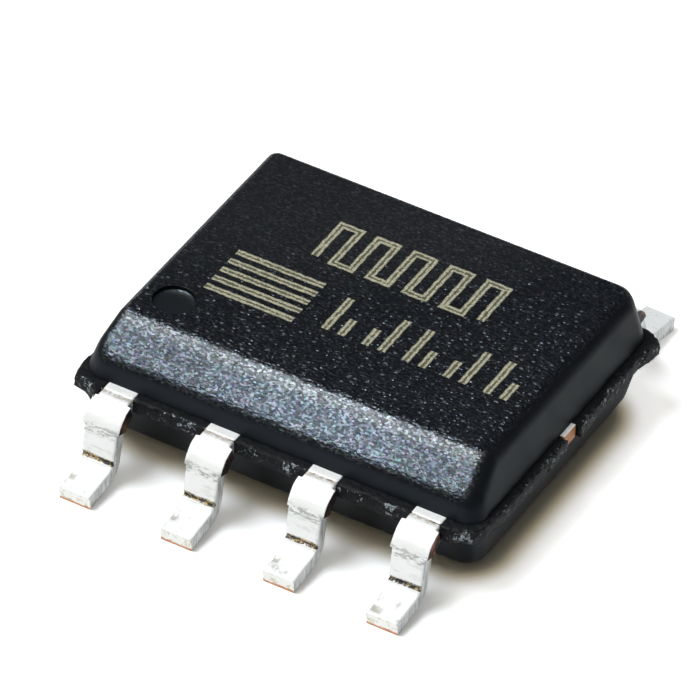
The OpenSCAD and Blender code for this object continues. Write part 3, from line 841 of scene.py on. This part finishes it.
def lead_path(reach, tilt_deg):
    """Centre line of a lead outside the body, as (distance out, height, direction, station).

    A station counts along the lead: 0 wall, 1 and 2 shoulder bend, 3 and 4 knee bend, 5 toe.
    """
    f, tilt = math.radians(FOOT_TILT), math.radians(tilt_deg)
    outer = SHOULDER_R + LEAD_T
    cy, cz = HALF_W + NECK_L, PARTING_Z - outer
    top_y, top_z = cy + outer * math.cos(tilt), cz + outer * math.sin(tilt)
    across = reach - top_y - KNEE_R * math.cos(tilt) + KNEE_R * math.sin(f)
    down = top_z + KNEE_R * math.sin(tilt) - (KNEE_R + LEAD_T) * math.cos(f)
    leg = (down * math.cos(f) - across * math.sin(f)) / math.cos(tilt + f)
    foot = (across * math.cos(tilt) - down * math.sin(tilt)) / math.cos(tilt + f)
    mid = LEAD_T / 2
    path = []

    def straight(y, z, heading, run, n, first):
        for i in range(n):
            d = run * i / n
            path.append((y + d * math.cos(heading), z + d * math.sin(heading), heading, first + i / n))

    def bend(y, z, r, a0, a1, turn, n, first):
        for i in range(n):
            a = a0 + (a1 - a0) * i / n
            path.append((y + r * math.cos(a), z + r * math.sin(a), a + turn, first + i / n))

    straight(HALF_W - 0.25, PARTING_Z - mid, 0.0, 0.25, 6, -1.0)
    straight(HALF_W, PARTING_Z - mid, 0.0, NECK_L, 12, 0.0)
    bend(cy, cz, outer - mid, math.pi / 2, tilt, -math.pi / 2, 40, 1.0)
    ly, lz = cy + (outer - mid) * math.cos(tilt), cz + (outer - mid) * math.sin(tilt)
    heading = tilt - math.pi / 2
    straight(ly, lz, heading, leg, 26, 2.0)
    ky = top_y + leg * math.sin(tilt) + KNEE_R * math.cos(tilt)
    kz = top_z - leg * math.cos(tilt) + KNEE_R * math.sin(tilt)
    bend(ky, kz, KNEE_R + mid, math.pi + tilt, 1.5 * math.pi - f, math.pi / 2, 26, 3.0)
    hy, hz = ky - (KNEE_R + mid) * math.sin(f), kz - (KNEE_R + mid) * math.cos(f)
    straight(hy, hz, -f, foot, 24, 4.0)
    path.append((hy + foot * math.cos(f), hz - foot * math.sin(f), -f, 5.0))
    return path


def dam_stations(tilt):
    """Where the wide stretch starts and ends, as stations on the shoulder bend."""
    return [1 + min(1.0, (90 - a) / (90 - tilt)) for a in (DAM_FROM, DAM_TO)]


def lead_width(t, dam):
    """Width of a lead at a station."""
    if t < dam[0]:
        return NECK_W
    if t < dam[1]:
        return DAM_W - 0.008 * (t - dam[0])
    return LEG_W + (TOE_W - LEG_W) * (t - dam[1]) / (5 - dam[1])


def groove(t, centre, half, depth):
    """Depth of a smooth groove across the lead, half its width on each side of its centre."""
    u = abs(t - centre) / half
    return depth * (1 - u * u) ** 2 if u < 1 else 0.0


def dent(number, across, t):
    """1 inside the forming tool's small dent on a front lead's foot, 0 outside."""
    if number not in DENTS:
        return 0.0
    place, station = DENTS[number]
    u = 1 - abs(across - place) / (DENT_W / 2)
    v = 1 - abs(t - station) / (DENT_L / 2)
    return max(0.0, min(1.0, 2 * u, 2 * v))


def split_at(path, places, gap):
    """Puts extra points just before and just after each station in places."""
    out = list(path)
    for t in places:
        for d in (-gap, gap):
            k = next(i for i, p in enumerate(out) if p[3] > t + d)
            a, b = out[k - 1], out[k]
            f = (t + d - a[3]) / (b[3] - a[3])
            out.insert(k, tuple(u + (v - u) * f for u, v in zip(a, b)))
    return out


def section(w, t, soft):
    """Outline of a lead's section, anticlockwise from the lower left, as points (across, up)."""
    h, v = w / 2, t / 2
    corners = [(-h, -v, 180, soft / 2), (h, -v, 270, soft / 2), (h, v, 0, soft), (-h, v, 90, soft)]
    n_side, n_flat, n_arc = 6, 18, 3

    def on_corner(k, turned):
        cx, cy, a0, r = corners[k % 4]
        a = math.radians(a0 + turned)
        ox, oy = cx - math.copysign(r, cx), cy - math.copysign(r, cy)
        return ox + r * math.cos(a), oy + r * math.sin(a)

    pts = []
    for k in range(4):
        pts += [on_corner(k, 90 * i / n_arc) for i in range(n_arc + 1)]
        start, end = pts[-1], on_corner(k + 1, 0)
        n = n_flat if k % 2 == 0 else n_side
        pts += [(start[0] + (end[0] - start[0]) * i / n, start[1] + (end[1] - start[1]) * i / n)
                for i in range(1, n)]
    return pts


def finger_outline(x, corner):
    """Flat finger inside the body, for the +X side of the back row, as the CAD part has it."""
    root_y = HALF_W - 0.1
    tip_y = PADDLE_HI[1] + 0.18
    step_y = tip_y + 0.3
    w = NECK_W / 2
    neck = [(x + w, root_y), (x - w, root_y), (x - w, step_y)]
    if corner:
        corner_x = 1.3 + 0.18
        return neck + [(corner_x, tip_y), (corner_x, tip_y - 0.3), (x + w, tip_y - 0.3)]
    pad = 0.35
    foot = [(x - pad, step_y), (x - pad, tip_y), (x + pad, tip_y), (x + pad, step_y)]
    return neck + foot + [(x + w, step_y)]


class LeadMesh:
    """Points of a lead, each with the marks that its materials read, and its faces."""

    def __init__(self):
        self.verts, self.faces, self.kinds = [], [], []
        self.marks = {"station": [], "level": [], "dent": []}

    def point(self, place, station, level, pressed):
        self.verts.append(place)
        self.marks["station"].append(station)
        self.marks["level"].append(level)
        self.marks["dent"].append(pressed)

    def face(self, corners, kind):
        self.faces.append(corners)
        self.kinds.append(kind)

    def build(self, name, inside_out):
        faces = [f[::-1] for f in self.faces] if inside_out else self.faces
        ob = new_mesh(name, self.verts, faces, [TIN, CUT, DAM_CUT, TOE], self.kinds)
        for mark, values in self.marks.items():
            mark_points(ob, mark, values)
        ob.data.set_sharp_from_angle(angle=math.radians(50))
        return ob


def worn(a, u, t, spot, dam, pressed):
    """A section's point, moved by the punch's ragged edge, and on top by creases, tears and dent."""
    ragged = DAM_RAGGED if dam[0] <= t <= dam[1] else EDGE_RAGGED
    edge = max(0.0, abs(a) / (LEG_W / 2) - 0.8) * 5
    a += math.copysign(ragged * fractal(spot, 11.0, 2) * min(edge, 1.0), a)
    if u > 0:
        torn = 0.020 * max(0.0, fractal((spot[0], spot[1] * 2, spot[2] * 2.6), 8.0)) if t > 0.5 else 0
        u -= groove(t, *SHOULDER_CREASE) + groove(t, *KNEE_CREASE)
        u -= torn * (groove(t, dam[1] + 0.08, 0.2, 1.0) + 0.15) + DENT_DEPTH * pressed
    return a, u


def lead_outside(lead, number, x_at, side, row):
    """The formed lead outside the body: a section swept along its path, and turned if splayed."""
    splayed = number == SPLAYED
    tilt = LEG_TILT + (SPLAY_TILT if splayed else 0)
    turn = math.radians(-SPLAY_TURN if splayed else 0)
    dam = dam_stations(tilt)
    path = split_at(lead_path(REACH + (SPLAY_REACH if splayed else 0), tilt), dam, 0.012)
    for y, z, heading, t in path:
        soft = DAM_SOFT if dam[0] <= t <= dam[1] else EDGE_SOFT
        for a, u in section(lead_width(t, dam), LEAD_T, soft):
            spot = (x_at + side * a, row * y, z)
            pressed = dent(number, side * a, t) if u > 0 else 0.0
            a, u = worn(a, u, t, spot, dam, pressed)
            out = y - u * math.sin(heading) - HALF_W
            px = a * math.cos(turn) - out * math.sin(turn)
            py = a * math.sin(turn) + out * math.cos(turn) + HALF_W
            place = (side * (abs(x_at) + px), row * py, z + u * math.cos(heading))
            lead.point(place, t, u / LEAD_T + 0.5, pressed)
    lead_skin(lead, [p[3] for p in path], dam)


def lead_skin(lead, stations, dam):
    """Faces between a lead's sections, and its two end faces."""
    sect = section(1.0, LEAD_T, 0.02)
    n = len(sect)
    on_side = [abs(p[0]) > 0.49 and abs(sect[(i + 1) % n][0]) > 0.49 for i, p in enumerate(sect)]
    for k in range(len(stations) - 1):
        t = (stations[k] + stations[k + 1]) / 2
        flank = DAM_FACE if dam[0] < t < dam[1] else PUNCHED
        for i in range(n):
            j = (i + 1) % n
            quad = [k * n + i, k * n + j, (k + 1) * n + j, (k + 1) * n + i]
            lead.face(quad, flank if on_side[i] else ROLLED)
    lead.face(list(reversed(range(n))), PUNCHED)
    lead.face([(len(stations) - 1) * n + i for i in range(n)], TOE_FACE)


def lead_finger(lead, x_at, side, row):
    """The flat finger of a lead inside the body."""
    outline = finger_outline(abs(x_at), abs(x_at) > 1)
    m, base = len(outline), len(lead.verts)
    for z in (SLAB_Z, PARTING_Z):
        for x, y in outline:
            lead.point((side * x, row * y, z), -1.0, 0.5, 0.0)
    lead.face([base + i for i in reversed(range(m))], ROLLED)
    lead.face([base + m + i for i in range(m)], ROLLED)
    for i in range(m):
        j = (i + 1) % m
        lead.face([base + i, base + j, base + m + j, base + m + i], PUNCHED)


def make_lead(number):
    """One gull-wing lead with rounded punched edges, its dam bar stubs and its inner finger."""
    x_at = PITCH * (number - 2.5 if number <= 4 else 6.5 - number)
    row = -1 if number <= 4 else 1
    side = 1 if x_at > 0 else -1
    lead = LeadMesh()
    lead_outside(lead, number, x_at, side, row)
    lead_finger(lead, x_at, side, row)
    # drawn for the right end of the back row, so mirroring it once turns the faces inside out
    ob = lead.build(f"lead_{number}_formed", side * row < 0)
    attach(ob, "root")
    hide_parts(f"lead_{number}")


# ---- Laser marking ----

MARK_W, MARK_SUNK, MARK_RAISED = 0.1, 0.002, 0.0025


def stroke(points, width):
    """Thin raised ribbon along a polyline on the top face, with mitred corners."""
    z0, z1 = BODY_TOP - MARK_SUNK, BODY_TOP + MARK_RAISED
    verts, faces, across = [], [], []
    n = len(points)
    lanes = (-1.0, -0.5, 0.0, 0.5, 1.0)
    for k, p in enumerate(points):
        a, b = Vector(points[max(k - 1, 0)]), Vector(points[min(k + 1, n - 1)])
        q = Vector(p)
        d0 = (q - a).normalized() if k else (b - q).normalized()
        d1 = (b - q).normalized() if k < n - 1 else d0
        d = (d0 + d1).normalized()
        nrm = Vector((-d.y, d.x)) / max(0.5, d.dot(d0))
        for lane in lanes:
            c = q + nrm * lane * width / 2
            for z in (z0, z1):
                verts.append((c.x, c.y, z))
                across.append(lane)
    row = len(lanes) * 2
    for k in range(n - 1):
        for i in range(len(lanes) - 1):
            a, b = k * row + 2 * i, (k + 1) * row + 2 * i
            faces.append([a + 1, b + 1, b + 3, a + 3][::-1])
            faces.append([a, a + 2, b + 2, b][::-1])
        faces.append([k * row, k * row + 1, (k + 1) * row + 1, (k + 1) * row][::-1])
        e = row - 2
        faces.append([k * row + e, (k + 1) * row + e, (k + 1) * row + e + 1, k * row + e + 1][::-1])
    loop = [2 * i for i in range(len(lanes))] + [2 * i + 1 for i in reversed(range(len(lanes)))]
    for k in (0, n - 1):
        ends = [k * row + i for i in loop]
        faces.append(ends if k else ends[::-1])
    return verts, faces, across


def pulse_train(x0, y0, pulse, height, count):
    """Square wave: up, along, down, along."""
    pts = [(x0, y0)]
    for k in range(count):
        x = x0 + 2 * pulse * k
        pts += [(x, y0 + height), (x + pulse, y0 + height), (x + pulse, y0), (x + 2 * pulse, y0)]
    return pts[:-1]


def make_marks():
    """Plain generic marking: a pulse train, a row of bars and a hatched block."""
    strokes = [pulse_train(-0.98, 0.50, 0.23, 0.62, 5)]
    for k in range(5):
        x = -0.26 + 0.50 * k
        tall = 0.60 if k % 2 == 0 else 0.30
        strokes.append([(x, -0.53), (x, -0.53 + tall)])
        strokes.append([(x + 0.2, -0.53), (x + 0.2, -0.53 + 0.90 - tall)])
    for k in range(5):
        strokes.append([(-1.72, -0.58 + 0.17 * k), (-0.62, -0.58 + 0.17 * k)])
    verts, faces, across = [], [], []
    for points in strokes:
        v, f, a = stroke(points, MARK_W)
        faces += [[i + len(verts) for i in face] for face in f]
        verts += v
        across += a
    ob = new_mesh("laser_marking", verts, faces, [MARK], smooth=False)
    mark_points(ob, "across", across)
    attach(ob, "root")


# ---- Floor, lights and camera ----

def footprint_distance(t):
    """Distance on the floor from the round-cornered outline of the body's underside."""
    inner = (HALF_L - FLOOR_INSET_X - FLOOR_ROUND, HALF_W - FLOOR_INSET_Y - FLOOR_ROUND, 0.0)
    beyond = t.vec("MAXIMUM", t.vec("SUBTRACT", t.vec("ABSOLUTE", t.mm), inner), (0.0, 0.0, 0.0))
    flat = t.vec("MULTIPLY", beyond, (1.0, 1.0, 0.0))
    return t.math("SUBTRACT", t.vec("LENGTH", flat), FLOOR_ROUND)


def floor_material():
    """Pale paper, painted warmer right beside the part as a warm shadow tone.

    The camera sees it a little brighter than it is, more so away from the part. An emission that the
    camera sees, and reflections faintly, is painted light: it lightens the lamps' shadow, more on the
    side where the shadow falls, so that the shadow stays deep only where the floor is close under the
    part.
    """
    t = Tree("pale_floor")
    path = t.nt.nodes.new("ShaderNodeLightPath").outputs
    bounced = t.math("ADD", path["Is Glossy Ray"], path["Is Transmission Ray"])
    seen = t.math("MULTIPLY_ADD", bounced, FLOOR_IN_MIRROR, path["Is Camera Ray"])
    seen = t.math("MINIMUM", seen, 1.0)
    away = footprint_distance(t)
    paint = t.mix(t.noise(0.9, 3), (0.93, 0.93, 0.925), (0.96, 0.96, 0.955))
    # Painted shadow tone: warmer paint within 0.4 mm of the part
    paint = t.mix(t.ramp(away, 0.0, 0.4), (0.93, 0.85, 0.69), paint)
    # Painted light: to the camera the floor is brighter away from the part, and its emission grows
    # from 0.02 mm out, more on the side where the shadow falls
    gain = t.math("MULTIPLY_ADD", seen, t.ramp(away, 0.5, 2.0, 0.0, FLOOR_GAIN), 1.0)
    near, far = t.ramp(away, 0.02, 0.40, 0.0, LIFT_NEAR), t.ramp(away, 0.55, 1.1, 0.0, LIFT_FADE)
    lee = t.ramp(t.vec("DOT_PRODUCT", t.mm, LEE_SIDE), 0.45, 1.0, 0.38, 1.0)
    lift = t.mul(t.math("SUBTRACT", near, far), lee)
    diffuse = t.nt.nodes.new("ShaderNodeBsdfDiffuse")
    t.put(diffuse.inputs["Color"], t.vec("SCALE", paint, gain))
    painted_floor_emission = t.nt.nodes.new("ShaderNodeEmission")
    # Painted shadow tone: the emission is warm close to the part
    t.put(painted_floor_emission.inputs["Color"], t.mix(t.ramp(away, 0.05, 0.35), (1.0, 0.84, 0.52), (1.0, 1.0, 1.0)))
    t.put(painted_floor_emission.inputs["Strength"], t.mul(seen, lift))
    both = t.nt.nodes.new("ShaderNodeAddShader")
    t.put(both.inputs[0], diffuse.outputs[0])
    t.put(both.inputs[1], painted_floor_emission.outputs[0])
    return t.done(both.outputs[0])


def make_floor():
    """Round floor with a low rim, so that level views end on it too."""
    rings = [(0.001, 0.0), (FLOOR_R, 0.0), (FLOOR_R + 60, 6.0), (FLOOR_R + 100, 25.0),
             (FLOOR_R + 110, 60.0)]
    n = FLOOR_PARTS
    verts, faces = [], []
    for r, z in rings:
        for i in range(n):
            a = 2 * math.pi * i / n
            verts.append((r * math.cos(a), r * math.sin(a), z))
    for k in range(len(rings) - 1):
        for i in range(n):
            j = (i + 1) % n
            faces.append([k * n + i, (k + 1) * n + i, (k + 1) * n + j, k * n + j])
    faces.append(list(range(n)))
    new_mesh("floor", verts, faces, [floor_material()])


def sun(name, direction, strength, colour, angle):
    """Soft light from infinity; direction points from the part to the light."""
    data = bpy.data.lights.new(name, "SUN")
    data.energy = strength
    data.color = colour
    data.angle = math.radians(angle)
    ob = bpy.data.objects.new(name, data)
    ob.rotation_mode = "QUATERNION"
    ob.rotation_quaternion = Vector(direction).to_track_quat("Z", "Y")
    bpy.context.scene.collection.objects.link(ob)


def make_lights():
    sun("key", (-0.361, -0.235, 0.904), 2.5, (0.93, 0.99, 1.07), 27)
    sun("fill", (-0.30, -0.32, 0.90), 0.85, (1.0, 0.91, 0.68), 90)
    world = bpy.data.worlds.new("studio")
    world.use_nodes = True
    back = world.node_tree.nodes["Background"]
    back.inputs["Color"].default_value = (0.90, 0.94, 1.0, 1.0)
    back.inputs["Strength"].default_value = 0.10
    bpy.context.scene.world = world


def make_camera():
    """Long lens from the front right, above; its roll is the photographer's slight tilt."""
    az, el, roll = math.radians(27.92), math.radians(39.58), math.radians(2.99)
    distance, slide, lift, look_z = 95.66, -0.179, 0.189, 0.7
    back = Vector((math.sin(az) * math.cos(el), -math.cos(az) * math.cos(el), math.sin(el)))
    right = Vector((math.cos(az), math.sin(az), 0))
    up = back.cross(right)
    r = math.cos(roll) * right + math.sin(roll) * up
    u = -math.sin(roll) * right + math.cos(roll) * up
    data = bpy.data.cameras.new("camera")
    data.sensor_width = 36
    data.lens = 452.8
    data.clip_start = 0.005
    data.clip_end = 5
    ob = bpy.data.objects.new("camera", data)
    place = (Vector((0, 0, look_z)) + back * distance + r * slide + u * lift) * MM
    turn = Matrix((r, u, back)).transposed().to_4x4()
    ob.matrix_world = Matrix.Translation(place) @ turn
    bpy.context.scene.collection.objects.link(ob)
    bpy.context.scene.camera = ob


# ---- Everything in its place ----

for body_piece in (make_upper(), make_lower(), make_flash()):
    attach(body_piece, "root")
    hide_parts("moulded_body")
for lead_number in range(1, 9):
    make_lead(lead_number)
make_marks()

EPOXY = plain_finish("filled_epoxy", (0.45, 0.45, 0.43), (0.68, 0.68, 0.66), 0.2, 0.5, 60)
SILICON = plain_finish("silicon_polished", (0.20, 0.23, 0.28), (0.32, 0.35, 0.40), 0.4, 0.2, 25)
GOLD = plain_finish("gold_drawn", (0.78, 0.53, 0.14), (0.92, 0.70, 0.26), 1.0, 0.3, 80)
INNER = {"die_paddle": TIE_BAR, "die_attach": EPOXY, "silicon_die": SILICON}
INNER.update({f"bond_wire_{n}": GOLD for n in range(1, 9)})
for node_name, finish in INNER.items():
    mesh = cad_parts[node_name].data
    mesh.materials.clear()
    mesh.materials.append(finish)

make_floor()
make_lights()
make_camera()
bpy.context.scene.view_settings.view_transform = "Standard"
